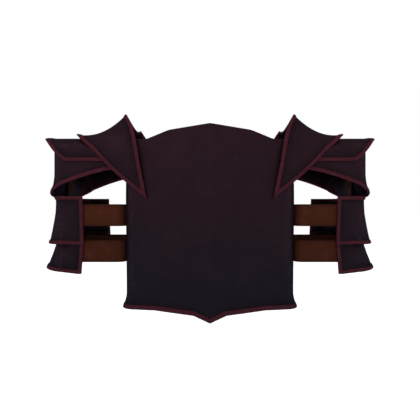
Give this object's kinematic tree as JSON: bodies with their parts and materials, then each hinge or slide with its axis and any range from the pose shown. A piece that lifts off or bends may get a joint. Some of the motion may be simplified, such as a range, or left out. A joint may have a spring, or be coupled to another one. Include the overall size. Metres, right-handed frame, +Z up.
{
  "type": "steel breastplate",
  "caption": "Dark steel cuirass with boxy chest and back shells, winged shoulder caps, flared arm guards and leather bands, edged with red binding.",
  "frame": {"origin": "where it sits on the wearer: level with the shoulder straps, halfway between left and right and between front and back", "axes": "+Z up, the front faces -Y, the wearer's left side is at +X; in node names left and right are as seen from the front, so left is at -X"},
  "size_m": [0.6708, 0.2399, 0.4187],
  "materials": {
    "dark_steel": "matte, almost black with a red-violet cast",
    "red_binding": "matte dark red",
    "brown_leather": "dull red-brown"
  },
  "bodies": {
    "root": {"breastplate": "dark_steel", "breastplate_border": "red_binding", "backplate": "dark_steel", "backplate_border": "red_binding", "cap_upper_left": "dark_steel", "cap_upper_border_left": "red_binding", "cap_upper_right": "dark_steel", "cap_upper_border_right": "red_binding", "cap_lower_left": "dark_steel", "cap_lower_border_left": "red_binding", "cap_lower_right": "dark_steel", "cap_lower_border_right": "red_binding", "guard_upper_left": "dark_steel", "guard_upper_border_left": "red_binding", "guard_upper_right": "dark_steel", "guard_upper_border_right": "red_binding", "guard_lower_left": "dark_steel", "guard_lower_border_left": "red_binding", "guard_lower_right": "dark_steel", "guard_lower_border_right": "red_binding", "wing_left": "dark_steel", "wing_border_left": "red_binding", "wing_right": "dark_steel", "wing_border_right": "red_binding", "strap_upper_left": "brown_leather", "strap_upper_right": "brown_leather", "strap_lower_left": "brown_leather", "strap_lower_right": "brown_leather", "arm_leather_left": "brown_leather", "arm_leather_right": "brown_leather", "shoulder_tab_left": "brown_leather", "shoulder_tab_right": "brown_leather", "shoulder_strap_left": "brown_leather", "shoulder_strap_right": "brown_leather", "flank_strap_left": "brown_leather", "flank_strap_right": "brown_leather"}
  },
  "joints": []
}
